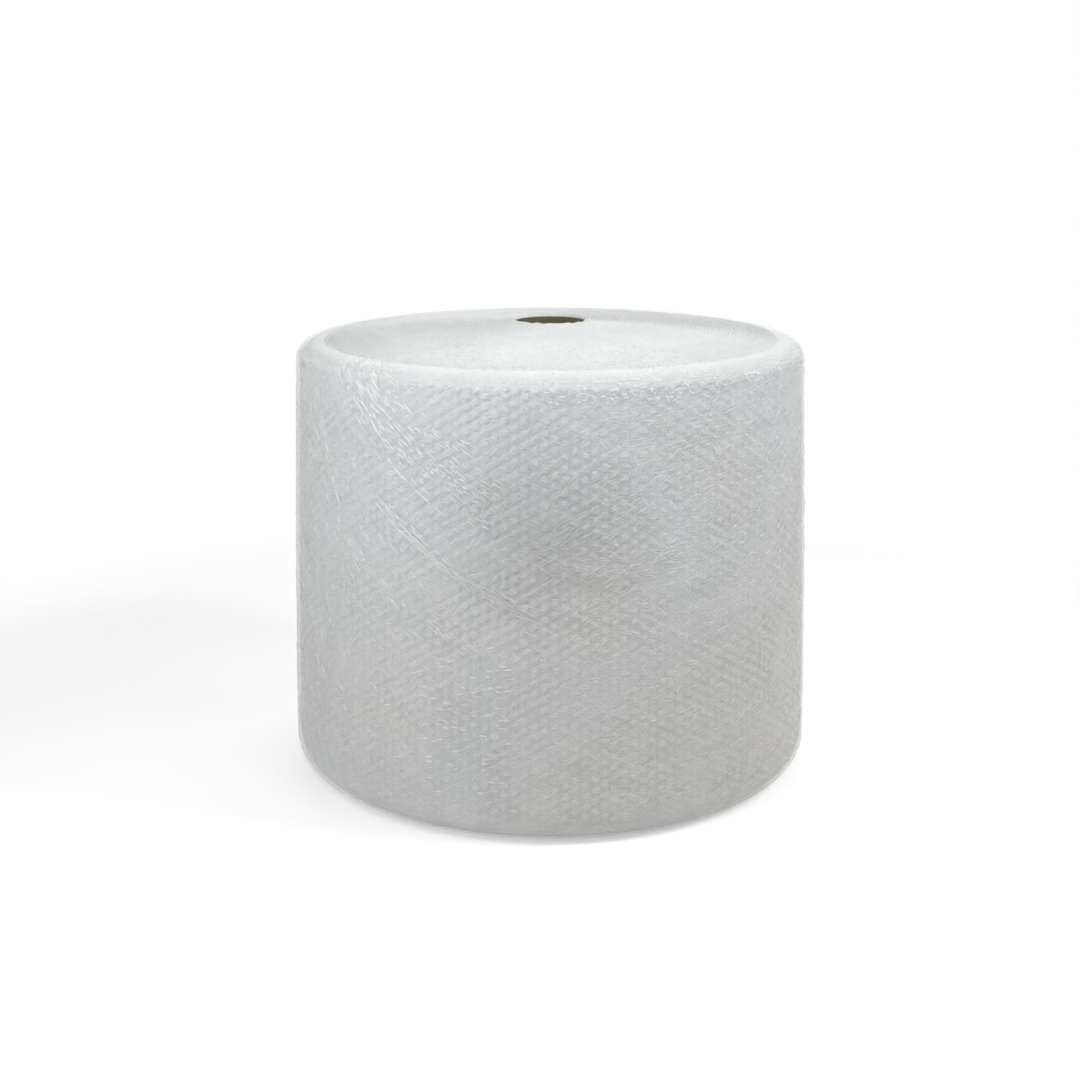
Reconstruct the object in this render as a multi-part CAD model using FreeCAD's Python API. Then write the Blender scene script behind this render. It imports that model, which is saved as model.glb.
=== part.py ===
import FreeCAD, Part
import math
import os
from FreeCAD import Vector

# A roll of bubble wrap that stands on its end: the wound web, the cardboard tube
# that it is wound on, and the clear film stretched round its side and over its rims.
# Millimetres, +Z up, origin in the middle of the base.

# Driving dimensions of the whole roll, over the film
web_width = 500.0
roll_radius = 298.0
foot_corner = 34.0
shoulder_corner = 22.0
crown_rise = 20.0

# Driving dimensions of the turns that show as a spiral on both ends
turn_thickness = 4.0
turns_per_ridge = 3
ridge_depth = 4.5
ridge_recess = 0.6
ridged_radius = 166.0
spiral_end_angle = 118.0

# Driving dimensions of the bubbles that raise the film round the side
bubble_height = 4.0
bubble_pitch = 10.4
bubbles_per_bump = 3

# Driving dimensions of the cardboard tube
core_bore_radius = 38.0
core_wall = 4.0
core_recess = 3.0

# Driving dimensions of the stretch film
film_thickness = 0.5
film_lap = 95.0
film_gap = 0.3

# The film pulls the rims' corners into this many flat bands
foot_bands = 3
shoulder_bands = 3

# The tools that cut the turns reach this far out of the ends
clear = 10.0

AXIS = Vector(0, 0, 1)
CENTRE = Vector(0, 0, 0)
core_radius = core_bore_radius + core_wall
ridge_pitch = turn_thickness * turns_per_ridge
side_radius = roll_radius - bubble_height
lap_radius = roll_radius - film_lap
under_film = film_thickness + film_gap

# The film is made of flats, one for each bump of a row, and its bumps stand in staggered
# rows, each for a few bubbles both round and up the roll
bump_pitch = bubble_pitch * bubbles_per_bump
flats_round = round(2 * math.pi * roll_radius / bump_pitch)
half_flat = math.pi / flats_round
bump_levels = 2 * round((web_width - foot_corner - shoulder_corner) / bump_pitch / 2)

# Inside this radius the turns have slid up, so the top is crowned and the base dished
slid_radius = ridged_radius + turn_thickness
slope = crown_rise / (slid_radius - core_radius)

# Half of each turn is drawn off centre, so its ridges start lower by what that moves them
ridge_sink = ridge_recess + slope * ridge_pitch / 2


def point(radius, z):
    """A point of a profile, drawn in the plane y = 0."""
    return Vector(radius, 0, z)


def corner_points(radius, z, size, bands, start, end):
    """Points of a rounded corner about a centre, from one angle to another above
    the outward radius, a whole number of flat bands apart."""
    points = []
    for band in range(bands + 1):
        angle = start + (end - start) * band / bands
        points.append(point(radius + size * math.cos(angle), z + size * math.sin(angle)))
    return points


def web_base(radius):
    """Height of the web's lower end inside the radius where its turns have slid up."""
    return slope * (slid_radius - radius)


def web_top(radius):
    """Height of the web's upper end there: every turn is as wide as the next."""
    return web_base(radius) + web_width - under_film


def foot_points(inset):
    """Points from the base round the foot, at a depth under the film's face."""
    size = foot_corner - inset
    return corner_points(
        side_radius - foot_corner, foot_corner, size, foot_bands, -math.pi / 2, 0
    )


def shoulder_points(inset):
    """Points from the side round the shoulder, at a depth under the film's face."""
    centre = web_width - shoulder_corner
    size = shoulder_corner - inset
    return corner_points(
        side_radius - shoulder_corner, centre, size, shoulder_bands, 0, math.pi / 2
    )


def profile(points):
    """Face of a closed outline through the points."""
    return Part.Face(Part.makePolygon(points + [points[0]]))


def plain_web():
    """The web with smooth ends, set back where the film covers its base."""
    points = [
        point(core_radius, 0),
        point(lap_radius - film_gap, 0),
        point(lap_radius - film_gap, under_film),
        *foot_points(under_film),
        *shoulder_points(under_film),
        point(slid_radius, web_top(slid_radius)),
        point(core_radius, web_top(core_radius)),
    ]
    return profile(points).revolve(CENTRE, AXIS, 360)


def comb(shift, height, outward):
    """Outline of a tool that leaves ridges along an end: its teeth follow the end's
    height, and its back lies clear of the web on the outward side."""
    first = core_radius - 1.5 * ridge_pitch + shift
    ridges = int((ridged_radius - first) // ridge_pitch)
    teeth = []
    for ridge in range(ridges):
        crest = first + ridge * ridge_pitch
        valley = crest + ridge_pitch / 2
        teeth.append(point(crest, height(crest) - outward * ridge_sink))
        teeth.append(point(valley, height(valley) - outward * (ridge_sink + ridge_depth)))
    last = first + ridges * ridge_pitch
    teeth.append(point(last, height(last) - outward * ridge_sink))
    back = outward * clear + (height(0) if outward > 0 else 0)
    return profile([point(first, back), *teeth, point(last, back)])


def spiral_combs(height, outward):
    """The tool for one end as two half turns. The second is half a ridge smaller and
    its axis stands half a ridge away, so each ridge runs on into the next one out."""
    step = ridge_pitch / 2
    wide = comb(0, height, outward).revolve(CENTRE, AXIS, 180)
    tight_face = comb(-step, height, outward)
    tight_face.translate(Vector(step, 0, 0))
    tight = tight_face.revolve(Vector(step, 0, 0), AXIS, -180)
    return [wide, tight]


def make_bubble_wrap_roll():
    """The wound web as one solid, with the spiral of its turns on both ends."""
    combs = spiral_combs(web_top, 1) + spiral_combs(web_base, -1)
    roll = plain_web().cut(combs).removeSplitter()
    roll.rotate(CENTRE, AXIS, spiral_end_angle)
    return roll


def make_cardboard_core():
    """The tube in the middle, a little shorter than the web at both ends."""
    low = web_base(core_radius) + core_recess
    length = web_top(core_radius) - core_recess - low
    tube = Part.makeCylinder(core_radius, length, point(0, low))
    return tube.cut(Part.makeCylinder(core_bore_radius, length, point(0, low)))


def turned(radius, z, step):
    """The point at a whole number of half flats round the axis."""
    angle = half_flat * step
    return Vector(radius * math.cos(angle), radius * math.sin(angle), z)


def flat_ring(place):
    """Corners of a ring of flats that touch the circle through a point of the profile."""
    corner = place.x / math.cos(half_flat)
    return [turned(corner, place.z, 2 * flat + 1) for flat in range(flats_round)]


def flat_band(lower, upper):
    """The flats between two rings."""
    flats = []
    for flat in range(flats_round):
        following = (flat + 1) % flats_round
        flats.append(profile([lower[flat], lower[following], upper[following], upper[flat]]))
    return flats


def side_point(level, step):
    """A point of the side: the crest of a bump, or the dip between four of them."""
    z = foot_corner + (web_width - foot_corner - shoulder_corner) * level / bump_levels
    if 0 < level < bump_levels and (level + step) % 2 == 0:
        return turned(roll_radius, z, step)
    return turned(side_radius / math.cos(half_flat), z, step)


def bump(level, step):
    """The four slopes of the bump with its crest at a level and a half flat."""
    dips = [
        side_point(level, step + 1),
        side_point(level + 1, step),
        side_point(level, step - 1),
        side_point(level - 1, step),
    ]
    crest = side_point(level, step)
    return [profile([crest, dips[edge - 1], dips[edge]]) for edge in range(4)]


def bumpy_side():
    """The film's face round the side, raised in staggered rows of bumps."""
    slopes = []
    for level in range(1, bump_levels):
        for flat in range(flats_round):
            slopes += bump(level, 2 * flat + level % 2)
    for flat in range(flats_round):
        step = 2 * flat + 1
        for edge, inner in ((0, 1), (bump_levels, bump_levels - 1)):
            corners = [side_point(edge, step), side_point(edge, step + 2)]
            slopes.append(profile([*corners, side_point(inner, step + 1)]))
    return slopes


def make_stretch_film():
    """The film round the side, lapped in over both rims and raised by the bubbles."""
    inside = [
        point(lap_radius, film_thickness),
        *foot_points(film_thickness),
        *shoulder_points(film_thickness),
        point(lap_radius, web_width - film_thickness),
    ]
    outline = [
        *shoulder_points(0),
        point(lap_radius, web_width),
        *inside[::-1],
        point(lap_radius, 0),
        *foot_points(0),
    ]
    rings = [flat_ring(place) for place in outline]
    faces = bumpy_side()
    for lower, upper in zip(rings, rings[1:]):
        faces += flat_band(lower, upper)
    return Part.Solid(Part.Shell(faces))


def main():
    """Write each piece of the roll to its own file."""
    os.makedirs("parts", exist_ok=True)
    pieces = {
        "bubble_wrap_roll": make_bubble_wrap_roll(),
        "cardboard_core": make_cardboard_core(),
        "stretch_film": make_stretch_film(),
    }
    for name, shape in pieces.items():
        print(name, shape.isValid(), len(shape.Solids), round(shape.Volume), shape.BoundBox)
        shape.exportStep(f"parts/{name}.step")


main()
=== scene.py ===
"""The looks of a roll of bubble wrap that stands on its end.

The frame gives the sizes. Around it come the wound web with its bubbles and the edges
of its turns, the cardboard tube, and the clear film stretched round side and rims.
Lengths are in millimetres in the classes, and in metres on the meshes.
"""

import logging
import math
from dataclasses import dataclass
from enum import Enum

import bpy
import numpy as np
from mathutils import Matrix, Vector


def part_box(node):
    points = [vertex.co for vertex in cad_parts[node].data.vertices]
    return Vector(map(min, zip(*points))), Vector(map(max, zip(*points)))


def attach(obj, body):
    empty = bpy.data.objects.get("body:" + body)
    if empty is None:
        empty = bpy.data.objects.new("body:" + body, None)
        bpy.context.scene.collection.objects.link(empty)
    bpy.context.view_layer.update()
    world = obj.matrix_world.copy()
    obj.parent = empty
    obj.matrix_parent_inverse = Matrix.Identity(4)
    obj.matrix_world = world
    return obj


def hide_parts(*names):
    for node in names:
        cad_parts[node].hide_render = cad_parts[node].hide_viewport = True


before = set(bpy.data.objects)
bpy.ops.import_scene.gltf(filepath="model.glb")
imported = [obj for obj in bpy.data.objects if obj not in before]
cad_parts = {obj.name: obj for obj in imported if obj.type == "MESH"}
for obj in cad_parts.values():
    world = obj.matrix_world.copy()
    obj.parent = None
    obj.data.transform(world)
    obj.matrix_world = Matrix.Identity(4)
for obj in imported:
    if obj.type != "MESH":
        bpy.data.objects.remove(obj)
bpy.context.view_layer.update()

log = logging.getLogger("bubble_wrap_roll")

MM = 0.001
BODY = "root"


class End(Enum):
    """The two ends of the roll, with the direction that each faces."""

    BASE = -1
    TOP = 1


# Helpers


def linear(code: str) -> tuple[float, float, float, float]:
    """Turn an sRGB hex colour into a linear one.

    Args:
        code: Six hex digits after a hash.

    Returns:
        Linear red, green and blue, with an alpha of one.
    """
    values = [int(code[i : i + 2], 16) / 255 for i in (1, 3, 5)]
    lit = [v / 12.92 if v <= 0.04045 else ((v + 0.055) / 1.055) ** 2.4 for v in values]
    return (*lit, 1.0)


def add_node(
    tree: bpy.types.NodeTree, kind: str, settings: dict | None = None, **links: object
) -> bpy.types.Node:
    """Add one node with its settings and what feeds it.

    Args:
        tree: The node tree that the node goes into.
        kind: The node's type name.
        settings: Values of the node's own properties.
        links: For each input, an output to link or a value to set. An input's name is
            written with underscores, and in_0 stands for the first one.

    Returns:
        The new node.
    """
    node = tree.nodes.new(kind)
    for name, value in (settings or {}).items():
        setattr(node, name, value)
    for name, value in links.items():
        key = int(name[3:]) if name.startswith("in_") else name.replace("_", " ")
        socket = node.inputs[key]
        if isinstance(value, bpy.types.NodeSocket):
            tree.links.new(value, socket)
        else:
            socket.default_value = value
    return node


def mesh_piece(
    name: str,
    points: np.ndarray,
    faces: np.ndarray,
    material: bpy.types.Material,
    maps: dict[str, np.ndarray] | None = None,
) -> bpy.types.Object:
    """Make a smooth-shaded mesh object.

    Args:
        name: The piece's name.
        points: Vertices in millimetres, one row each.
        faces: Vertex numbers, one row for each triangle or quad.
        material: What the piece is dressed in.
        maps: UV maps by name, one pair of numbers for each vertex.

    Returns:
        The linked object, which rides on the roll's body.
    """
    mesh = bpy.data.meshes.new(name)
    mesh.from_pydata(points * MM, [], faces)
    mesh.polygons.foreach_set("use_smooth", np.ones(len(mesh.polygons), bool))
    corners = np.empty(len(mesh.loops), np.int32)
    mesh.loops.foreach_get("vertex_index", corners)
    for map_name, values in (maps or {}).items():
        layer = mesh.uv_layers.new(name=map_name)
        layer.data.foreach_set("uv", values[corners].astype(np.float32).ravel())
    mesh.materials.append(material)
    mesh.update()
    piece = bpy.data.objects.new(name, mesh)
    bpy.context.scene.collection.objects.link(piece)
    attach(piece, BODY)
    triangles = sum(len(p.vertices) - 2 for p in mesh.polygons)
    log.info("%s: %d triangles", name, triangles)
    return piece


def grid_faces(rows: int, columns: int) -> np.ndarray:
    """Quads of a grid whose points are numbered row by row.

    Args:
        rows: Number of points up the grid.
        columns: Number of points along it.

    Returns:
        Four vertex numbers for each quad.
    """
    numbers = np.arange(rows * columns).reshape(rows, columns)
    return np.stack(
        [numbers[:-1, :-1], numbers[:-1, 1:], numbers[1:, 1:], numbers[1:, :-1]], axis=-1
    ).reshape(-1, 4)


# Sizes


@dataclass(frozen=True)
class RollSizes:
    """Sizes of the whole roll in millimetres, from the frame and from the photograph's
    outline, which is a little narrower at the shoulder than at the foot."""

    radius: float
    rim_height: float
    crown_rise: float
    core_radius: float
    lap_radius: float
    shoulder_draw_in: float = 9.3
    foot_spread: float = 6.1
    side_bulge: float = 1.35
    shoulder_width: float = 26.0
    shoulder_drop: float = 19.3
    foot_corner: float = 33.8
    turn_thickness: float = 4.0
    bubble_height: float = 3.4
    film_gap: float = 0.35
    tail_angle: float = 128.0

    @classmethod
    def from_frame(cls) -> "RollSizes":
        """Read the main sizes from the CAD nodes."""
        film_low, film_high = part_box("stretch_film")
        roll_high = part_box("bubble_wrap_roll")[1]
        core_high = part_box("cardboard_core")[1]
        return cls(
            radius=film_high.x / MM,
            rim_height=film_high.z / MM,
            crown_rise=(roll_high.z - film_high.z) / MM + 2.5,
            core_radius=core_high.x / MM,
            lap_radius=film_high.x / MM - 95,
        )

    @property
    def shoulder_radius(self) -> float:
        """Radius at the top of the side."""
        return self.radius - self.shoulder_draw_in

    @property
    def foot_radius(self) -> float:
        """Radius at the foot of the side."""
        return self.radius + self.foot_spread

    @property
    def crown_radius(self) -> float:
        """Radius where the crown of the upper end begins."""
        return self.shoulder_radius - self.shoulder_width


class RollProfile:
    """Half section of the roll's outer face, measured by arc length from the middle of
    the base, round the foot, up the side, and over the shoulder to the middle of the top.
    """

    end_points = 80

    def __init__(self, sizes: RollSizes) -> None:
        """Lay out the section.

        Args:
            sizes: Sizes of the roll.
        """
        s = sizes
        n = self.end_points
        quarter = np.linspace(0, math.pi / 2, 40)
        inner = np.linspace(s.core_radius, s.foot_radius - s.foot_corner, n)[:-1]
        foot_r = s.foot_radius - s.foot_corner + s.foot_corner * np.sin(quarter)
        foot_z = s.foot_corner - s.foot_corner * np.cos(quarter)
        side_z = np.linspace(s.foot_corner, s.rim_height - s.shoulder_drop, 120)[1:-1]
        share = (side_z - side_z[0]) / (side_z[-1] - side_z[0])
        side_r = s.foot_radius + (s.shoulder_radius - s.foot_radius) * share
        side_r = side_r + s.side_bulge * 4 * share * (1 - share)
        lean = 2 * s.crown_rise / s.crown_radius
        over = np.linspace(0, math.atan2(s.shoulder_drop, s.shoulder_width * lean), 40)
        top_r = s.crown_radius + s.shoulder_width * np.cos(over)
        top_z = s.rim_height - s.shoulder_drop * (1 - np.sin(over))
        outer = np.linspace(top_r[-1], s.core_radius, n)[1:]
        self.radii = np.concatenate([inner, foot_r, side_r, top_r, outer])
        crown = (s.rim_height + s.crown_rise - top_z[-1]) * (1 - (outer / top_r[-1]) ** 2)
        dish = s.crown_rise * (1 - (inner / inner[-1]) ** 2)
        self.heights = np.concatenate([dish, foot_z, side_z, top_z, top_z[-1] + crown])
        steps = np.hypot(np.diff(self.radii), np.diff(self.heights))
        self.lengths = np.concatenate([[0.0], np.cumsum(steps)])
        slope_r = np.gradient(self.radii, self.lengths)
        slope_z = np.gradient(self.heights, self.lengths)
        size = np.hypot(slope_r, slope_z)
        self.out_r = slope_z / size
        self.out_z = -slope_r / size
        self.base_edge = self.lengths[len(inner)]
        self.foot_end = self.lengths[len(inner) + len(foot_r) - 1]
        self.shoulder_start = self.lengths[len(inner) + len(foot_r) + len(side_r)]
        self.top_edge = self.lengths[len(self.lengths) - len(outer) - 1]

    def at(self, length: np.ndarray, inset: np.ndarray | float = 0.0) -> tuple:
        """Find points of the section.

        Args:
            length: Arc lengths in millimetres.
            inset: How far the points lie under the face.

        Returns:
            Radii and heights of the points.
        """
        r = np.interp(length, self.lengths, self.radii)
        z = np.interp(length, self.lengths, self.heights)
        out_r, out_z = self.outward(length)
        return r - inset * out_r, z - inset * out_z

    def outward(self, length: np.ndarray) -> tuple[np.ndarray, np.ndarray]:
        """Outward direction of the face at some arc lengths."""
        return (
            np.interp(length, self.lengths, self.out_r),
            np.interp(length, self.lengths, self.out_z),
        )

    def length_at_radius(self, radius: float, end: End) -> float:
        """Arc length where one end's face has a radius."""
        n = self.end_points
        if end is End.BASE:
            return float(np.interp(radius, self.radii[:n], self.lengths[:n]))
        return float(np.interp(-radius, -self.radii[-n:], self.lengths[-n:]))

    def length_at_height(self, height: np.ndarray) -> np.ndarray:
        """Arc length where the side has a height."""
        n = self.end_points
        return np.interp(height, self.heights[n:-n], self.lengths[n:-n])

    def end_height(self, radius: np.ndarray, end: End) -> np.ndarray:
        """Height of one end's face at some radii, round its corner too."""
        middle = len(self.radii) // 2
        if end is End.BASE:
            part = slice(0, middle)
            return np.interp(radius, self.radii[part], self.heights[part])
        return np.interp(radius, self.radii[middle:][::-1], self.heights[middle:][::-1])


def place(angle: np.ndarray, radius: np.ndarray, height: np.ndarray) -> np.ndarray:
    """Turn polar places into points.

    Args:
        angle: Angles in radians round the axis, from the front towards the right.
        radius: Distances from the axis.
        height: Heights.

    Returns:
        One row of three numbers for each place.
    """
    angle, radius, height = np.broadcast_arrays(angle, radius, height)
    flat = [radius * np.sin(angle), -radius * np.cos(angle), height]
    return np.stack(flat, axis=-1).reshape(-1, 3)


# Finishes


@dataclass(frozen=True)
class BubbleWebFinish:
    """Blown low-density polyethylene bubble film, seen where many turns lie over each
    other: the clear film looks milky white, with a soft gloss on each bubble."""

    colour: str = "#eceeee"
    shade: str = "#dfe3e3"
    roughness: float = 0.3
    ior: float = 1.51
    patch_mm: float = 55.0
    crease_mm: float = 2.4
    crease_height: float = 3.2
    # Painted shade: a greyer band round the rim, centred at this height and this spread wide, where the
    # colour is scaled down to the share below. The same height and spread also set where the web turns
    # rougher.
    rim_height: float = 494.0
    rim_spread: float = 13.0
    rim_painted_shade: float = 0.87
    end_roughness: float = 0.5

    def material(self) -> bpy.types.Material:
        """Make the web's material."""
        made = bpy.data.materials.new("ldpe_bubble_film")
        made.use_nodes = True
        tree = made.node_tree
        tree.nodes.clear()
        where = add_node(tree, "ShaderNodeTexCoord").outputs["Object"]
        patch = add_node(
            tree, "ShaderNodeTexNoise", Vector=where, Scale=1 / (self.patch_mm * MM), Detail=3.0
        )
        crease = add_node(
            tree, "ShaderNodeTexNoise", Vector=where, Scale=1 / (self.crease_mm * MM), Detail=2.0
        )
        colour = add_node(
            tree,
            "ShaderNodeMix",
            {"data_type": "RGBA"},
            Factor=patch.outputs["Fac"],
            in_6=linear(self.colour),
            in_7=linear(self.shade),
        )
        # Painted shade: the web's colour is greyed in a band round the rim, to tone down the light that
        # the shoulder catches from the lamps above
        height = add_node(tree, "ShaderNodeSeparateXYZ", Vector=where).outputs["Z"]
        above = add_node(
            tree,
            "ShaderNodeMath",
            {"operation": "SUBTRACT"},
            in_0=height,
            in_1=self.rim_height * MM,
        )
        away = add_node(
            tree, "ShaderNodeMath", {"operation": "ABSOLUTE"}, in_0=above.outputs["Value"]
        )
        painted_shade = add_node(
            tree,
            "ShaderNodeMapRange",
            {"interpolation_type": "SMOOTHSTEP"},
            Value=away.outputs["Value"],
            From_Max=self.rim_spread * MM,
            To_Min=self.rim_painted_shade,
            To_Max=1.0,
        )
        shaded_colour = add_node(
            tree,
            "ShaderNodeVectorMath",
            {"operation": "SCALE"},
            in_0=colour.outputs[2],
            Scale=painted_shade.outputs["Result"],
        )
        gloss = add_node(
            tree,
            "ShaderNodeMapRange",
            {"interpolation_type": "SMOOTHSTEP"},
            Value=height,
            From_Min=(self.rim_height - 2 * self.rim_spread) * MM,
            From_Max=self.rim_height * MM,
            To_Min=self.roughness,
            To_Max=self.end_roughness,
        )
        bump = add_node(
            tree,
            "ShaderNodeBump",
            Height=crease.outputs["Fac"],
            Strength=1.0,
            Distance=self.crease_height * MM,
        )
        shader = add_node(
            tree,
            "ShaderNodeBsdfPrincipled",
            Base_Color=shaded_colour.outputs["Vector"],
            Roughness=gloss.outputs["Result"],
            IOR=self.ior,
            Normal=bump.outputs["Normal"],
        )
        add_node(tree, "ShaderNodeOutputMaterial", Surface=shader.outputs["BSDF"])
        return made


@dataclass(frozen=True)
class StretchFilmFinish:
    """Cast stretch film drawn tight over bubbles: clear, milky where several layers lie
    over each other, with a sharp gloss on its wrinkles."""

    cool_colour: str = "#eff1f3"
    warm_colour: str = "#f2ece0"
    tint_mm: float = 170.0
    tint_lean: tuple[float, float, float] = (0.6, 0.0, -1.2)
    roughness: float = 0.24
    top_roughness: float = 0.65
    ior: float = 1.5
    top_veil: float = 0.03
    side_veil: float = 0.5
    veil_spread: float = 0.14
    patch_mm: float = 75.0
    streak_mm: float = 2.4
    streak_length_mm: float = 24.0
    drawn_height: float = 0.9
    crossed_height: float = 0.7
    crinkle_mm: float = 2.6
    crinkle_height: float = 2.3
    bubble_height: float = 0.2
    # Painted shade: a greyer patch of this reach round this place in the front, where the colour is
    # scaled down to the share below
    front_shade_place: tuple[float, float, float] = (0.0, -0.3, 0.345)
    front_shade_reach: float = 0.15
    front_shade_grey: float = 0.76
    crease: float = 0.0

    def streaks(self, tree: bpy.types.NodeTree, uv_map: str) -> bpy.types.NodeSocket:
        """Make a pattern of long thin streaks.

        Args:
            tree: The material's node tree.
            uv_map: The UV map whose first axis runs along the streaks.

        Returns:
            The pattern's value.
        """
        where = add_node(tree, "ShaderNodeUVMap", {"uv_map": uv_map}).outputs["UV"]
        stretch = add_node(
            tree,
            "ShaderNodeVectorMath",
            {"operation": "MULTIPLY"},
            in_0=where,
            in_1=(1 / self.streak_length_mm, 1 / self.streak_mm, 1.0),
        )
        noise = add_node(
            tree,
            "ShaderNodeTexNoise",
            {"noise_dimensions": "2D"},
            Vector=stretch.outputs["Vector"],
            Scale=1.0,
            Detail=3.0,
            Roughness=0.6,
        )
        return noise.outputs["Fac"]

    def imprint(self, tree: bpy.types.NodeTree) -> bpy.types.NodeSocket:
        """Make the pattern that the bubbles press into the film: staggered bumps."""
        where = add_node(tree, "ShaderNodeUVMap", {"uv_map": "bubbles"}).outputs["UV"]
        apart = add_node(tree, "ShaderNodeSeparateXYZ", Vector=where)
        waves = []
        for axis, turns in (("X", math.pi), ("Y", 2 * math.pi), ("X", 2 * math.pi)):
            phase = add_node(
                tree,
                "ShaderNodeMath",
                {"operation": "MULTIPLY"},
                in_0=apart.outputs[axis],
                in_1=turns,
            )
            wave = add_node(
                tree, "ShaderNodeMath", {"operation": "COSINE"}, in_0=phase.outputs["Value"]
            )
            waves.append(wave.outputs["Value"])
        crossed = add_node(
            tree, "ShaderNodeMath", {"operation": "MULTIPLY"}, in_0=waves[0], in_1=waves[1]
        )
        bumps = add_node(
            tree,
            "ShaderNodeMath",
            {"operation": "MULTIPLY_ADD"},
            in_0=crossed.outputs["Value"],
            in_1=2.0,
            in_2=waves[2],
        )
        return bumps.outputs["Value"]

    def relief(
        self,
        tree: bpy.types.NodeTree,
        cover: bpy.types.NodeSocket,
        patch: bpy.types.NodeSocket,
        where: bpy.types.NodeSocket,
    ) -> bpy.types.NodeSocket:
        """Add up the film's streaks, crinkles and imprints, in millimetres.

        Args:
            tree: The material's node tree.
            cover: One on the side, and zero on both ends.
            patch: Where the film lies tight on the bubbles.
            where: Coordinates of the object in metres.

        Returns:
            Height of the relief.
        """
        crinkle = add_node(
            tree,
            "ShaderNodeTexNoise",
            Vector=where,
            Scale=1 / (self.crinkle_mm * MM),
            Detail=3.0,
            Roughness=0.6,
        )
        drawn = add_node(
            tree,
            "ShaderNodeMath",
            {"operation": "MULTIPLY"},
            in_0=self.streaks(tree, "drawn"),
            in_1=self.drawn_height,
        )
        crossed = add_node(
            tree,
            "ShaderNodeMath",
            {"operation": "MULTIPLY_ADD"},
            in_0=self.streaks(tree, "crossed"),
            in_1=self.crossed_height,
            in_2=drawn.outputs["Value"],
        )
        tight = add_node(
            tree,
            "ShaderNodeMath",
            {"operation": "MULTIPLY"},
            in_0=patch,
            in_1=self.bubble_height,
        )
        pressed = add_node(
            tree,
            "ShaderNodeMath",
            {"operation": "MULTIPLY_ADD"},
            in_0=self.imprint(tree),
            in_1=tight.outputs["Value"],
            in_2=crossed.outputs["Value"],
        )
        fine = add_node(
            tree,
            "ShaderNodeMath",
            {"operation": "MULTIPLY"},
            in_0=crinkle.outputs["Fac"],
            in_1=self.crinkle_height,
        )
        covered = add_node(
            tree,
            "ShaderNodeMath",
            {"operation": "MULTIPLY_ADD"},
            in_0=pressed.outputs["Value"],
            in_1=cover,
            in_2=fine.outputs["Value"],
        )
        return covered.outputs["Value"]

    def material(self) -> bpy.types.Material:
        """Make the film's material."""
        made = bpy.data.materials.new("creased_stretch_film" if self.crease else "stretch_film")
        made.use_nodes = True
        tree = made.node_tree
        tree.nodes.clear()
        where = add_node(tree, "ShaderNodeTexCoord").outputs["Object"]
        place_map = add_node(tree, "ShaderNodeUVMap", {"uv_map": "cover"}).outputs["UV"]
        shares = add_node(tree, "ShaderNodeSeparateXYZ", Vector=place_map).outputs
        blotch = add_node(
            tree, "ShaderNodeTexNoise", Vector=where, Scale=1 / (self.tint_mm * MM), Detail=1.0
        )
        lean = add_node(
            tree,
            "ShaderNodeVectorMath",
            {"operation": "DOT_PRODUCT"},
            in_0=where,
            in_1=self.tint_lean,
        )
        tint = add_node(
            tree,
            "ShaderNodeMath",
            {"operation": "ADD", "use_clamp": True},
            in_0=blotch.outputs["Fac"],
            in_1=lean.outputs["Value"],
        )
        colour = add_node(
            tree,
            "ShaderNodeMix",
            {"data_type": "RGBA"},
            Factor=tint.outputs["Value"],
            in_6=linear(self.cool_colour),
            in_7=linear(self.warm_colour),
        )
        # Painted shade: the film's colour is greyed in a soft patch in the middle of the front, which
        # faces the dark side of the room
        away = add_node(
            tree,
            "ShaderNodeVectorMath",
            {"operation": "DISTANCE"},
            in_0=where,
            in_1=self.front_shade_place,
        )
        painted_shade = add_node(
            tree,
            "ShaderNodeMapRange",
            {"interpolation_type": "SMOOTHSTEP"},
            Value=away.outputs["Value"],
            From_Max=self.front_shade_reach,
            To_Min=self.front_shade_grey,
            To_Max=1.0,
        )
        shaded_colour = add_node(
            tree,
            "ShaderNodeVectorMath",
            {"operation": "SCALE"},
            in_0=colour.outputs[2],
            Scale=painted_shade.outputs["Result"],
        )
        noise = add_node(
            tree, "ShaderNodeTexNoise", Vector=where, Scale=1 / (self.patch_mm * MM), Detail=2.0
        )
        patch = add_node(
            tree,
            "ShaderNodeMapRange",
            {"interpolation_type": "SMOOTHSTEP"},
            Value=noise.outputs["Fac"],
            From_Min=0.25,
            From_Max=0.75,
        ).outputs["Result"]
        layers = add_node(
            tree,
            "ShaderNodeMath",
            {"operation": "MULTIPLY_ADD"},
            in_0=patch,
            in_1=-self.veil_spread,
            in_2=self.side_veil + self.veil_spread / 2 - self.top_veil,
        )
        veil = add_node(
            tree,
            "ShaderNodeMath",
            {"operation": "MULTIPLY_ADD", "use_clamp": True},
            in_0=layers.outputs["Value"],
            in_1=shares["Y"],
            in_2=self.top_veil + self.crease,
        )
        bump = add_node(
            tree,
            "ShaderNodeBump",
            Height=self.relief(tree, shares["X"], patch, where),
            Strength=0.0 if self.crease else 1.0,
            Distance=MM,
        )
        gloss = add_node(
            tree,
            "ShaderNodeMath",
            {"operation": "MULTIPLY_ADD"},
            in_0=shares["X"],
            in_1=self.roughness - self.top_roughness,
            in_2=self.top_roughness,
        )
        shader = add_node(
            tree,
            "ShaderNodeBsdfPrincipled",
            Base_Color=shaded_colour.outputs["Vector"],
            Roughness=gloss.outputs["Value"],
            IOR=self.ior,
            Alpha=veil.outputs["Value"],
            Normal=bump.outputs["Normal"],
        )
        add_node(tree, "ShaderNodeOutputMaterial", Surface=shader.outputs["BSDF"])
        return made


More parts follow.
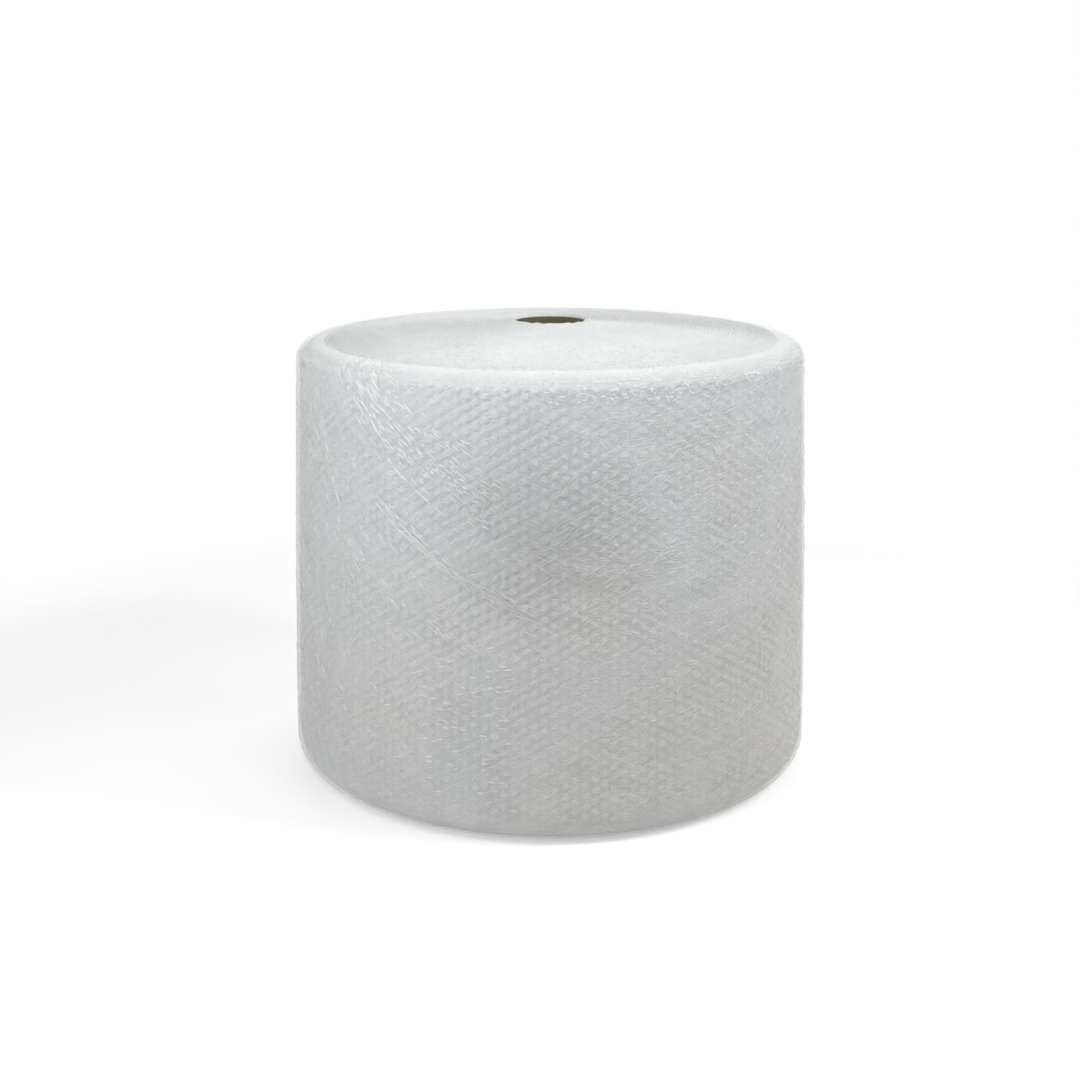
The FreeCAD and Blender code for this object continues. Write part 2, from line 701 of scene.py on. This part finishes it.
@dataclass(frozen=True)
class CoreBoardFinish:
    """Spiral-wound grey-brown chipboard: matt and fibrous. The seam where one ply meets the next is not
    drawn."""

    colour: str = "#6f6a4f"
    fibre_colour: str = "#5b563e"
    roughness: float = 0.88
    fibre_mm: float = 1.6

    def material(self) -> bpy.types.Material:
        """Make the board's material."""
        made = bpy.data.materials.new("spiral_wound_board")
        made.use_nodes = True
        tree = made.node_tree
        tree.nodes.clear()
        where = add_node(tree, "ShaderNodeTexCoord").outputs["Object"]
        fibre = add_node(
            tree,
            "ShaderNodeTexNoise",
            Vector=where,
            Scale=1 / (self.fibre_mm * MM),
            Detail=4.0,
            Roughness=0.6,
        )
        colour = add_node(
            tree,
            "ShaderNodeMix",
            {"data_type": "RGBA"},
            Factor=fibre.outputs["Fac"],
            in_6=linear(self.colour),
            in_7=linear(self.fibre_colour),
        )
        bump = add_node(
            tree,
            "ShaderNodeBump",
            Height=fibre.outputs["Fac"],
            Strength=0.3,
            Distance=0.3 * MM,
        )
        shader = add_node(
            tree,
            "ShaderNodeBsdfPrincipled",
            Base_Color=colour.outputs[2],
            Roughness=self.roughness,
            Normal=bump.outputs["Normal"],
        )
        add_node(tree, "ShaderNodeOutputMaterial", Surface=shader.outputs["BSDF"])
        return made


# Sub-assemblies


@dataclass
class BubbleLattice:
    """The staggered places of the bubbles on the roll's side: columns up the roll, each
    half a pitch higher or lower than its neighbours."""

    sizes: RollSizes
    profile: RollProfile
    pitch: float = 12.0
    rows: int = 45

    @property
    def columns(self) -> int:
        """Number of columns round the roll, an even one."""
        return 2 * round(2 * math.pi * self.sizes.radius / (self.pitch * math.sqrt(3)))

    @property
    def middle(self) -> float:
        """Arc length halfway up the side."""
        return (self.profile.foot_end + self.profile.shoulder_start) / 2

    @property
    def reach(self) -> float:
        """How far the rows go from the middle, over the roll's corners."""
        return self.rows * self.pitch / 2

    def places(self) -> tuple[np.ndarray, np.ndarray]:
        """Angle and arc length of each bubble."""
        row, column = np.meshgrid(np.arange(self.rows), np.arange(self.columns), indexing="ij")
        tail = math.radians(self.sizes.tail_angle)
        angle = tail + (column + 0.5) * 2 * math.pi / self.columns
        stagger = 0.5 * (column % 2) - 0.25
        length = self.middle + (row - (self.rows - 1) / 2 + stagger) * self.pitch
        return angle.ravel(), length.ravel()

    def numbers(self, angle: np.ndarray, length: np.ndarray) -> tuple[np.ndarray, np.ndarray]:
        """Column and row, whole numbers at the bubbles, of any places."""
        tail = math.radians(self.sizes.tail_angle)
        column = (angle - tail) * self.columns / (2 * math.pi) - 0.5
        row = (length - self.middle) / self.pitch + (self.rows - 1) / 2 + 0.25
        return column, row


@dataclass(frozen=True)
class ProudSpot:
    """A part of the side where the film is so tight that bubbles stand out of it: its
    angle in degrees and its height, how far it spreads, and how far the bubbles rise."""

    angle: float
    angle_spread: float
    height: float
    height_spread: float
    rise: float


@dataclass
class WoundWeb:
    """The web of bubble film, wound from the core out: its drum, its bubbles and the
    edges of its turns at both ends."""

    sizes: RollSizes
    profile: RollProfile
    lattice: BubbleLattice
    material: bpy.types.Material
    bubble_radius: float = 4.9
    bubble_sides: int = 8
    fade: float = 46.0
    burst_share: float = 0.06
    shift: float = 0.45
    corner_inset: float = 1.4
    end_inset: float = 2.4
    corner_reach: tuple[float, float] = (8.0, 10.0)
    edge_inset: float = 1.2
    edge_half: float = 0.35
    film_step: float = 7.0
    wave_step: float = 3.0
    wave_depth: float = 2.4
    wave_drop: float = 0.8
    scallop: float = 2.2
    scallop_turns: float = 2.0
    flat_turns: float = 6.0
    seed: int = 11
    dome_rings: tuple[tuple[float, float], ...] = ((1.0, 0.0), (0.9, 0.55), (0.6, 0.93))
    proud_spots: tuple[ProudSpot, ...] = (
        ProudSpot(-28.0, 14.0, 436.0, 34.0, 3.0),
        ProudSpot(-50.0, 9.0, 450.0, 36.0, 2.0),
        ProudSpot(-17.0, 8.0, 130.0, 80.0, 1.6),
        ProudSpot(58.0, 16.0, 430.0, 50.0, 1.6),
        ProudSpot(135.0, 20.0, 330.0, 70.0, 1.8),
        ProudSpot(-120.0, 20.0, 400.0, 60.0, 2.0),
    )
    bands: tuple[str, ...] = ("lowest", "lower", "upper", "highest")

    def swell(self, angle: np.ndarray) -> np.ndarray:
        """How far the last turn stands out at some angles: it grows by one turn on its way
        round, and drops at the web's free end."""
        tail = math.radians(self.sizes.tail_angle)
        share = ((angle - tail) / (2 * math.pi)) % 1.0
        return self.sizes.turn_thickness * (share - 0.5)

    @property
    def land_inset(self) -> float:
        """Depth of the flat film between the bubbles under the roll's outer face."""
        return self.sizes.film_gap + self.sizes.bubble_height + self.sizes.turn_thickness / 2

    def drum(self) -> bpy.types.Object:
        """Make the closed drum that the bubbles and the turns' edges stand on."""
        p = self.profile
        s = self.sizes
        angles = math.radians(s.tail_angle) + np.linspace(0, 2 * math.pi, 361)
        angles[-1] -= 1e-4
        stops = [0, p.base_edge, p.foot_end, p.shoulder_start, p.top_edge, p.lengths[-1]]
        parts = [np.linspace(a, b, 13)[:-1] for a, b in zip(stops, stops[1:])]
        lengths = np.append(np.concatenate(parts), stops[-1])
        near, far = self.corner_reach
        marks = [p.base_edge - far, p.base_edge - near, p.base_edge, p.foot_end]
        marks += [p.shoulder_start, p.top_edge, p.top_edge + near, p.top_edge + far]
        land, corner, flat = self.land_inset, self.corner_inset, self.end_inset
        depths = [flat, corner, corner, land, land, corner, corner, flat]
        lengths = np.sort(np.concatenate([lengths, marks[:2], marks[-2:]]))
        r, z = p.at(lengths, np.interp(lengths, marks, depths))
        r = np.maximum(r, s.core_radius)
        side = np.clip((r - s.core_radius) / 100, 0, 1)
        rows = [place(angles, rr + k * self.swell(angles), zz) for rr, zz, k in zip(r, z, side)]
        rows.append(rows[0])
        faces = grid_faces(len(rows), len(angles))
        return mesh_piece("web_drum", np.concatenate(rows), faces, self.material)

    def proud(self, angle: np.ndarray, length: np.ndarray) -> np.ndarray:
        """How much further than the rest the bubbles may stand out at some places."""
        rise = np.zeros(len(angle))
        for spot in self.proud_spots:
            middle = self.profile.length_at_height(spot.height)
            across = (np.degrees(angle) - spot.angle + 180) % 360 - 180
            reach = (across / spot.angle_spread) ** 2 + ((length - middle) / spot.height_spread) ** 2
            rise = rise + spot.rise * np.exp(-reach)
        return rise

    def bubbles(self) -> list[bpy.types.Object]:
        """Make the bubbles of the last turn, in bands of rows up the roll. They are lower
        and smaller towards the rims, where the film draws them flat."""
        angle, length = self.lattice.places()
        draw = np.random.default_rng(self.seed)
        count = len(angle)
        left = (self.lattice.reach - np.abs(length - self.lattice.middle)) / self.fade
        whole = np.clip(left, 0.1, 1)
        burst = draw.random(count) < self.burst_share
        tall = self.sizes.bubble_height * draw.uniform(0.72, 1.0, count) * whole
        tall = np.where(burst, 0.35 * tall, tall + self.proud(angle, length) * draw.random(count))
        wide = self.bubble_radius * draw.uniform(0.9, 1.03, count) * (0.4 + 0.6 * whole)
        angle = angle + draw.normal(0, self.shift, count) / self.sizes.radius
        length = length + draw.normal(0, self.shift, count)
        r, z = self.profile.at(length, self.land_inset)
        r = r + self.swell(angle)
        out_r, out_z = self.profile.outward(length)
        outward = place(angle, out_r, out_z)
        around = place(angle + math.pi / 2, np.ones(count), np.zeros(count))
        upward = np.cross(outward, around)
        centre = place(angle, r, z)
        turn = np.arange(self.bubble_sides) * 2 * math.pi / self.bubble_sides
        lean = draw.normal(0, 0.12, (count, 2))
        layers = []
        for share, rise in self.dome_rings:
            ring = wide[:, None, None] * (
                around[:, None, :] * (share * np.cos(turn)[None, :, None] + rise * lean[:, :1, None])
                + upward[:, None, :] * (share * np.sin(turn)[None, :, None] + rise * lean[:, 1:, None])
            )
            lift = (tall * rise)[:, None, None] * outward[:, None, :]
            layers.append(centre[:, None, :] + ring + lift)
        layers.append((centre + tall[:, None] * outward)[:, None, :])
        domes = np.concatenate(layers, axis=1)
        domes[:, :, 2] = np.maximum(domes[:, :, 2], 0)
        faces = self.dome_faces()
        made = []
        for name, part in zip(self.bands, np.array_split(np.arange(count), len(self.bands))):
            chosen = domes[part]
            offset = np.arange(len(part)) * chosen.shape[1]
            numbers = (faces[None, :, :] + offset[:, None, None]).reshape(-1, faces.shape[1])
            made.append(
                mesh_piece(f"bubbles_{name}", chosen.reshape(-1, 3), numbers, self.material)
            )
        return made

    def dome_faces(self) -> np.ndarray:
        """Triangles of one dome, whose points are numbered ring by ring up to its top."""
        sides = self.bubble_sides
        rings = len(self.dome_rings)
        top = rings * sides
        found = []
        for ring in range(rings - 1):
            for side in range(sides):
                a = ring * sides + side
                b = ring * sides + (side + 1) % sides
                found.append((a, b, b + sides))
                found.append((a, b + sides, a + sides))
        for side in range(sides):
            a = (rings - 1) * sides
            found.append((a + side, a + (side + 1) % sides, top))
        return np.array(found)

    def turn_edges(self, end: End) -> bpy.types.Object:
        """Make the edges of the turns that show on one end: for each turn a flat film,
        and beside it the film that the bubbles are blown from, which waves with them. The
        first turns stand in scallops round the core.

        Args:
            end: The end of the roll.

        Returns:
            The piece.
        """
        s = self.sizes
        step_out = s.turn_thickness
        last = s.crown_radius if end is End.TOP else s.foot_radius - s.foot_corner
        last = last + step_out
        turns = (last - s.core_radius) / step_out
        total = math.pi * (last**2 - s.core_radius**2) / step_out
        parts = []
        faces = []
        count = 0
        for step, wave in ((self.film_step, 0.0), (self.wave_step, 1.0)):
            along = np.arange(0, total, step)
            radius = np.sqrt(s.core_radius**2 + along * step_out / math.pi)
            turned = (radius - s.core_radius) / step_out
            angle = math.radians(s.tail_angle) - 2 * math.pi * (turns - turned)
            arch = np.abs(np.sin(math.pi * along / self.lattice.pitch)) ** 1.4
            first = np.clip(1 - turned / self.scallop_turns, 0, 1)
            arch = arch * np.clip((turns - turned) / self.flat_turns, 0, 1)
            middle = radius + self.edge_half + wave * (self.edge_inset + self.wave_depth * arch)
            drop = self.edge_inset + wave * (1 - arch) * self.wave_drop
            drop = drop - first * self.scallop * arch
            face = self.profile.end_height(middle, end)
            top = face - end.value * drop
            low = face - end.value * (self.end_inset + 0.5)
            rows = [
                place(angle, middle - self.edge_half, low),
                place(angle, middle - self.edge_half * 0.7, top),
                place(angle, middle + self.edge_half * 0.7, top),
                place(angle, middle + self.edge_half, low),
            ]
            if end is End.BASE:
                rows = rows[::-1]
            parts.append(np.concatenate(rows))
            faces.append(grid_faces(4, len(along)) + count)
            count += 4 * len(along)
        points = np.concatenate(parts)
        points[:, 2] = np.maximum(points[:, 2], 0)
        name = f"turn_edges_{end.name.lower()}"
        return mesh_piece(name, points, np.concatenate(faces), self.material)

    def build(self) -> list[bpy.types.Object]:
        """Make every piece of the web."""
        pieces = [self.drum(), *self.bubbles(), *(self.turn_edges(end) for end in End)]
        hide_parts("bubble_wrap_roll")
        return pieces


@dataclass(frozen=True)
class PleatGroup:
    """Pleats that lie near each other: where they lie, and how long and high they are."""

    count: int
    angle: float
    angle_spread: float
    height: float
    height_spread: float
    length: tuple[float, float] = (12.0, 45.0)
    rise: tuple[float, float] = (0.35, 0.8)
    half_width: float = 0.5


@dataclass
class FilmSleeve:
    """The clear film stretched round the side and lapped in over both rims, with the
    pleats that its tension draws into it. Its many layers over the bubbles thin out on
    the shoulder, from a little before its inner edge to a little past it."""

    sizes: RollSizes
    profile: RollProfile
    lattice: BubbleLattice
    material: bpy.types.Material
    crease_material: bpy.types.Material
    columns: int = 560
    rows: int = 150
    overlap: float = 0.2
    start_angle: float = 150.0
    layer_step: float = 0.4
    fold_count: int = 46
    fold_height: float = 0.55
    fold_along: tuple[float, float] = (110.0, 300.0)
    fold_across: tuple[float, float] = (16.0, 55.0)
    fold_fade: float = 0.12
    relief_fade: tuple[float, float] = (30.0, 8.0)
    veil_fade: tuple[float, float] = (42.0, 6.0)
    pleat_points: int = 7
    stray: float = 0.14
    seed: int = 5
    swag_angles: tuple[float, ...] = (-180, -120, -60, -50, -43, -30, -15, 0, 12, 30, 60, 120, 180)
    drawn_slopes: tuple[float, ...] = (
        -0.3, -0.9, -1.7, -1.5, -0.95, -0.72, -0.58, -0.4, -0.15, 0.2, 0.3, 0.25, -0.1
    )
    crossed_slopes: tuple[float, ...] = (
        0.3, 0.3, 0.45, 0.4, 0.4, 0.4, 0.45, 0.6, 0.6, 0.5, 0.35, 0.2, 0.25
    )
    drawn_groups: tuple[PleatGroup, ...] = (
        PleatGroup(90, -21.0, 18.0, 303.0, 9.0, (8.0, 30.0), (0.4, 1.0), 0.6),
        PleatGroup(70, -38.0, 22.0, 290.0, 50.0, (6.0, 20.0), (0.3, 0.7)),
        PleatGroup(240, -30.0, 20.0, 430.0, 45.0, (5.0, 16.0), (0.5, 1.3), 0.9),
        PleatGroup(60, 10.0, 18.0, 300.0, 30.0, (5.0, 18.0), (0.3, 0.7)),
        PleatGroup(500, 0.0, 180.0, 260.0, 220.0, (4.0, 13.0), (0.25, 0.6)),
    )
    crossed_groups: tuple[PleatGroup, ...] = (
        PleatGroup(70, 10.0, 16.0, 355.0, 50.0, (6.0, 26.0), (0.3, 0.7)),
        PleatGroup(40, 14.0, 14.0, 285.0, 24.0, (5.0, 18.0), (0.3, 0.7)),
        PleatGroup(500, 0.0, 180.0, 260.0, 220.0, (4.0, 12.0), (0.25, 0.6)),
    )
    level_groups: tuple[PleatGroup, ...] = (
        PleatGroup(70, -17.0, 9.0, 135.0, 85.0, (5.0, 9.0), (0.5, 1.0), 1.0),
        PleatGroup(90, 14.0, 16.0, 480.0, 10.0, (3.0, 7.0), (0.6, 1.2), 1.1),
        PleatGroup(60, 45.0, 14.0, 482.0, 9.0, (3.0, 7.0), (0.6, 1.2), 1.1),
        PleatGroup(160, 0.0, 180.0, 300.0, 200.0, (3.0, 8.0), (0.4, 0.8)),
    )

    def __post_init__(self) -> None:
        """Draw the folds' wavelengths, slopes and phases once, for every piece."""
        draw = np.random.default_rng(self.seed)
        along = draw.uniform(*self.fold_along, self.fold_count)
        across = draw.uniform(*self.fold_across, self.fold_count)
        side = draw.choice([-1.0, 1.0], self.fold_count)
        self.fold_waves = np.stack([2 * math.pi * side / along, 2 * math.pi / across])
        self.fold_phases = draw.uniform(0, 2 * math.pi, self.fold_count)

    @property
    def start(self) -> float:
        """Angle in radians of the film's first edge."""
        return math.radians(self.start_angle) - 2 * math.pi

    @property
    def lap_lengths(self) -> tuple[float, float]:
        """Arc lengths of the film's edges on the base and on the top."""
        p = self.profile
        radius = self.sizes.lap_radius
        return p.length_at_radius(radius, End.BASE), p.length_at_radius(radius, End.TOP)

    def swag(self, angle: np.ndarray, slopes: tuple[float, ...]) -> np.ndarray:
        """Height of a line of tension at some angles.

        Args:
            angle: Angles in radians.
            slopes: How steeply the line rises to the right at the swag angles.

        Returns:
            Heights in millimetres above the line's height at the film's start.
        """
        fine = np.radians(np.linspace(-360, 360, 721))
        wrapped = (np.degrees(fine) + 180) % 360 - 180
        slope = np.interp(wrapped, self.swag_angles, slopes)
        rise = np.concatenate([[0], np.cumsum(slope[1:] * np.diff(fine))]) * self.sizes.radius
        return np.interp(angle, fine, rise)

    def cover(self, length: np.ndarray, top_fade: tuple[float, float]) -> np.ndarray:
        """How much of something lies over the bubbles: all on the side, none on the ends.

        Args:
            length: Arc lengths up the roll.
            top_fade: How far before the shoulder's inner edge it begins to fade, and how
                far past that edge it ends.

        Returns:
            Shares from zero to one.
        """
        p = self.profile
        first, last = top_fade
        top = (p.top_edge + last - length) / (first + last)
        foot = (length - p.base_edge) / (p.foot_end - p.base_edge)
        share = np.clip(np.minimum(top, foot), 0, 1)
        return share * share * (3 - 2 * share)

    def lift(self, angle: np.ndarray, length: np.ndarray) -> np.ndarray:
        """How far soft folds raise the film off the bubbles.

        Args:
            angle: Angles in radians.
            length: Arc lengths up the roll.

        Returns:
            Heights in millimetres, all above zero.
        """
        along = (angle - self.start) * self.sizes.radius
        across = length - self.swag(angle, self.drawn_slopes)
        waves = self.fold_waves
        phase = along[..., None] * waves[0] + across[..., None] * waves[1] + self.fold_phases
        height = np.sin(phase).sum(axis=-1) / math.sqrt(self.fold_count / 2)
        edge = np.minimum(angle - self.start, self.start + 2 * math.pi - angle) / self.fold_fade
        fade = np.clip(edge, 0, 1) * (0.15 + 0.85 * self.cover(length, self.relief_fade))
        return self.fold_height * fade * np.clip(1 + 0.5 * height, 0, 2)

    def maps(self, angle: np.ndarray, length: np.ndarray) -> dict[str, np.ndarray]:
        """UV maps of some points: along both ways that the film is drawn, the bubbles
        under it, and how much of its relief and of its layers lies over them."""
        along = (angle - self.start) * self.sizes.radius
        drawn = length - self.swag(angle, self.drawn_slopes)
        crossed = length - self.swag(angle, self.crossed_slopes)
        pairs = {
            "drawn": (along, drawn),
            "crossed": (along, crossed),
            "bubbles": self.lattice.numbers(angle, length),
            "cover": (self.cover(length, self.relief_fade), self.cover(length, self.veil_fade)),
        }
        return {name: np.stack(pair, axis=-1).reshape(-1, 2) for name, pair in pairs.items()}

    def sleeve(self) -> bpy.types.Object:
        """Make the film itself, as one open sheet whose end laps its start."""
        low, high = self.lap_lengths
        angles = self.start + np.linspace(0, 2 * math.pi + self.overlap, self.columns)
        lengths = np.linspace(low, high, self.rows)
        angle, length = np.meshgrid(angles, lengths)
        turned = np.linspace(0, 1, self.columns)[None, :]
        r, z = self.profile.at(length, -self.layer_step * turned - self.lift(angle, length))
        points = place(angle, r, np.maximum(z, 0))
        faces = grid_faces(self.rows, self.columns)
        return mesh_piece("stretch_sleeve", points, faces, self.material, self.maps(angle, length))

    def pleats(
        self, name: str, slopes: tuple[float, ...] | None, groups: tuple[PleatGroup, ...]
    ) -> bpy.types.Object:
        """Make pleats: thin tents that follow lines of tension on the film.

        Args:
            name: The piece's name.
            slopes: Slopes of the lines of tension, or none for level pleats.
            groups: The groups of pleats.

        Returns:
            The piece.
        """
        draw = np.random.default_rng(self.seed + len(groups))
        share = np.linspace(-0.5, 0.5, self.pleat_points)[None, :]
        taper = 1 - (2 * share) ** 2
        low, high = self.profile.foot_end, self.profile.top_edge
        rows = []
        for group in groups:
            turned = np.radians(group.angle + group.angle_spread * draw.uniform(-1, 1, group.count))
            middle = draw.normal(0, 0.5, group.count).clip(-1, 1) * group.height_spread
            flat = group.angle_spread >= 180
            if flat:
                middle = draw.uniform(-1, 1, group.count) * group.height_spread
            centre = self.profile.length_at_height(group.height + middle)
            if slopes:
                centre = centre + (0 if flat else 1) * (
                    self.swag(turned, slopes) - self.swag(np.radians(group.angle), slopes)
                )
                steep = np.interp(np.degrees(turned), self.swag_angles, slopes)
                steep = steep + draw.normal(0, self.stray, group.count)
            else:
                steep = draw.normal(0, self.stray, group.count)
            size = draw.uniform(*group.length, group.count)
            rise = draw.uniform(*group.rise, group.count)
            run = size / np.sqrt(1 + steep**2) / self.sizes.radius
            angle = turned[:, None] + run[:, None] * share
            bend = steep[:, None] * run[:, None] * share * self.sizes.radius
            length = centre[:, None] + bend
            keep = (length.min(axis=1) > low) & (length.max(axis=1) < high)
            angle, length, steep, rise = angle[keep], length[keep], steep[keep], rise[keep]
            slant = np.sqrt(1 + steep**2)[:, None]
            for side in (-1.0, 0.0, 1.0):
                step = side * group.half_width * (0.3 + 0.7 * taper)
                a = angle - step * (steep[:, None] / slant) / self.sizes.radius
                w = length + step / slant
                up = rise[:, None] * taper if side == 0 else -0.1
                rows.append((a, w, self.lift(a, w) + up))
        angle, length, up = (
            np.concatenate(
                [np.stack([rows[i + k][part] for k in range(3)], axis=1) for i in range(0, len(rows), 3)]
            )
            for part in range(3)
        )
        r, z = self.profile.at(length, -up - self.layer_step)
        points = place(angle, r, z)
        quads = grid_faces(3, self.pleat_points)[:, ::-1]
        offset = np.arange(len(angle)) * 3 * self.pleat_points
        faces = (quads[None] + offset[:, None, None]).reshape(-1, 4)
        return mesh_piece(name, points, faces, self.crease_material, self.maps(angle, length))

    def build(self) -> list[bpy.types.Object]:
        """Make every piece of the film."""
        sleeve = self.sleeve()
        pleats = [
            self.pleats("pleats_drawn", self.drawn_slopes, self.drawn_groups),
            self.pleats("pleats_crossed", self.crossed_slopes, self.crossed_groups),
            self.pleats("pleats_level", None, self.level_groups),
        ]
        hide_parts("stretch_film")
        low, high = self.lap_lengths
        return [sleeve, *pleats]


@dataclass
class CoreTube:
    """The cardboard tube, whose CAD solid has its true shape."""

    material: bpy.types.Material

    def dress(self) -> None:
        """Give the tube its board."""
        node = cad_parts["cardboard_core"]
        node.data.materials.clear()
        node.data.materials.append(self.material)
        log.info("cardboard_core: dressed")


@dataclass(frozen=True)
class Lamp:
    """One rectangular lamp: where it hangs and the point that it faces, its width and
    height in millimetres, and its power in watts."""

    name: str
    place: tuple[float, float, float]
    aim: tuple[float, float, float]
    size: tuple[float, float]
    power: float

    def hang(self) -> None:
        """Put the lamp into the scene."""
        data = bpy.data.lights.new(self.name, "AREA")
        data.shape = "RECTANGLE"
        data.size, data.size_y = self.size[0] * MM, self.size[1] * MM
        data.energy = self.power
        lamp = bpy.data.objects.new(self.name, data)
        lamp.location = Vector(self.place) * MM
        facing = Vector(self.aim) - Vector(self.place)
        lamp.rotation_euler = facing.to_track_quat("-Z", "Y").to_euler()
        bpy.context.scene.collection.objects.link(lamp)


@dataclass
class Studio:
    """Floor, lamps and camera."""

    look_height: float = 239.4
    distance: float = 1971.0
    elevation: float = 15.23
    focal_px: float = 1654.9
    image_px: float = 1080.0
    centre_px: tuple[float, float] = (550.17, 553.65)
    floor_size: float = 16000.0
    sensor: float = 36.0
    floor_colour: str = "#e8e8e8"
    floor_glow: float = 0.4
    shadow_reach: tuple[float, float] = (700.0, 1150.0)
    world_strength: float = 0.08
    lamps: tuple[Lamp, ...] = (
        Lamp("left_panel", (-2400, -600, 900), (0, 0, 300), (1200, 1400), 10.2),
        Lamp("front_left", (-1400, -1500, 700), (0, 0, 300), (700, 700), 7.8),
        Lamp("right_key", (1500, -500, 1500), (0, 0, 300), (500, 500), 17.6),
        Lamp("right_back", (1500, 600, 1700), (0, 0, 300), (700, 700), 4.8),
        Lamp("right_low", (2000, -1500, 300), (0, 0, 200), (1000, 500), 2.0),
        Lamp("over_back", (0, 900, 1500), (0, 150, 500), (1200, 600), 10.2),
        Lamp("over_left_rim", (-420, -650, 950), (-130, -200, 480), (350, 250), 3.1),
        Lamp("over_right_rim", (350, -650, 950), (100, -200, 480), (350, 250), 1.4),
    )

    def camera(self) -> None:
        """Set up the camera at the photograph's viewing angle."""
        data = bpy.data.cameras.new("studio_camera")
        data.sensor_width = self.sensor
        data.lens = self.sensor * self.focal_px / self.image_px
        data.shift_x = (self.image_px / 2 - self.centre_px[0]) / self.image_px
        data.shift_y = (self.centre_px[1] - self.image_px / 2) / self.image_px
        data.clip_start = 0.05
        data.clip_end = 100
        camera = bpy.data.objects.new("studio_camera", data)
        tilt = math.radians(self.elevation)
        back = Vector((0, -math.cos(tilt), math.sin(tilt)))
        camera.location = (Vector((0, 0, self.look_height)) + back * self.distance) * MM
        camera.rotation_euler = (-back).to_track_quat("-Z", "Y").to_euler()
        bpy.context.scene.collection.objects.link(camera)
        bpy.context.scene.camera = camera

    def floor(self) -> None:
        """Lay a pale floor that reads as white and keeps the roll's soft shadow."""
        half = self.floor_size / 2 * MM
        mesh = bpy.data.meshes.new("studio_floor")
        corners = [(-half, -half, 0), (half, -half, 0), (half, half, 0), (-half, half, 0)]
        mesh.from_pydata(corners, [], [(0, 1, 2, 3)])
        mesh.materials.append(self.floor_material())
        floor = bpy.data.objects.new("studio_floor", mesh)
        floor.location.z = -0.0002
        bpy.context.scene.collection.objects.link(floor)

    def seen(self, tree: bpy.types.NodeTree) -> bpy.types.NodeSocket:
        """One for rays that show the background: straight, mirrored or through glass."""
        path = add_node(tree, "ShaderNodeLightPath")
        either = add_node(
            tree,
            "ShaderNodeMath",
            {"operation": "ADD", "use_clamp": True},
            in_0=path.outputs["Is Camera Ray"],
            in_1=path.outputs["Is Glossy Ray"],
        )
        every = add_node(
            tree,
            "ShaderNodeMath",
            {"operation": "ADD", "use_clamp": True},
            in_0=either.outputs["Value"],
            in_1=path.outputs["Is Transmission Ray"],
        )
        return every.outputs["Value"]

    def floor_material(self) -> bpy.types.Material:
        """Make the floor's matt white paint. Near the roll it keeps the shadow, and
        further out it is plain white to the eye."""
        made = bpy.data.materials.new("white_floor_paint")
        made.use_nodes = True
        tree = made.node_tree
        tree.nodes.clear()
        paint = add_node(tree, "ShaderNodeBsdfDiffuse", Color=linear(self.floor_colour))
        glow = add_node(tree, "ShaderNodeEmission", Strength=self.floor_glow)
        near = add_node(
            tree, "ShaderNodeAddShader", in_0=paint.outputs["BSDF"], in_1=glow.outputs["Emission"]
        )
        white = add_node(tree, "ShaderNodeEmission", Strength=1.0)
        where = add_node(tree, "ShaderNodeTexCoord").outputs["Object"]
        reach = add_node(tree, "ShaderNodeVectorMath", {"operation": "LENGTH"}, in_0=where)
        far = add_node(
            tree,
            "ShaderNodeMapRange",
            {"interpolation_type": "SMOOTHSTEP"},
            Value=reach.outputs["Value"],
            From_Min=self.shadow_reach[0] * MM,
            From_Max=self.shadow_reach[1] * MM,
        )
        shown = add_node(
            tree,
            "ShaderNodeMixShader",
            in_0=far.outputs["Result"],
            in_1=near.outputs["Shader"],
            in_2=white.outputs["Emission"],
        )
        both = add_node(
            tree,
            "ShaderNodeMixShader",
            in_0=self.seen(tree),
            in_1=paint.outputs["BSDF"],
            in_2=shown.outputs["Shader"],
        )
        add_node(tree, "ShaderNodeOutputMaterial", Surface=both.outputs["Shader"])
        return made

    def world(self) -> None:
        """Fill the room with an even pale light, behind which the camera sees white."""
        world = bpy.data.worlds.new("studio_world")
        bpy.context.scene.world = world
        world.use_nodes = True
        tree = world.node_tree
        tree.nodes.clear()
        fill = add_node(
            tree, "ShaderNodeBackground", Color=linear("#ffffff"), Strength=self.world_strength
        )
        white = add_node(tree, "ShaderNodeBackground", Color=linear("#ffffff"), Strength=1.0)
        both = add_node(
            tree,
            "ShaderNodeMixShader",
            in_0=self.seen(tree),
            in_1=fill.outputs["Background"],
            in_2=white.outputs["Background"],
        )
        add_node(tree, "ShaderNodeOutputWorld", Surface=both.outputs["Shader"])

    def build(self) -> None:
        """Make the whole studio."""
        self.camera()
        self.floor()
        self.world()
        for lamp in self.lamps:
            lamp.hang()
        bpy.context.scene.view_settings.view_transform = "Standard"
        log.info("studio: camera, floor and lamps")


def main() -> None:
    """Build and dress every piece."""
    logging.basicConfig(level=logging.INFO, format="%(message)s")
    sizes = RollSizes.from_frame()
    profile = RollProfile(sizes)
    lattice = BubbleLattice(sizes, profile)
    film = StretchFilmFinish().material()
    creased = StretchFilmFinish(roughness=0.14, crease=0.15).material()
    WoundWeb(sizes, profile, lattice, BubbleWebFinish().material()).build()
    FilmSleeve(sizes, profile, lattice, film, creased).build()
    CoreTube(CoreBoardFinish().material()).dress()
    Studio().build()


if __name__ == "__main__":
    main()
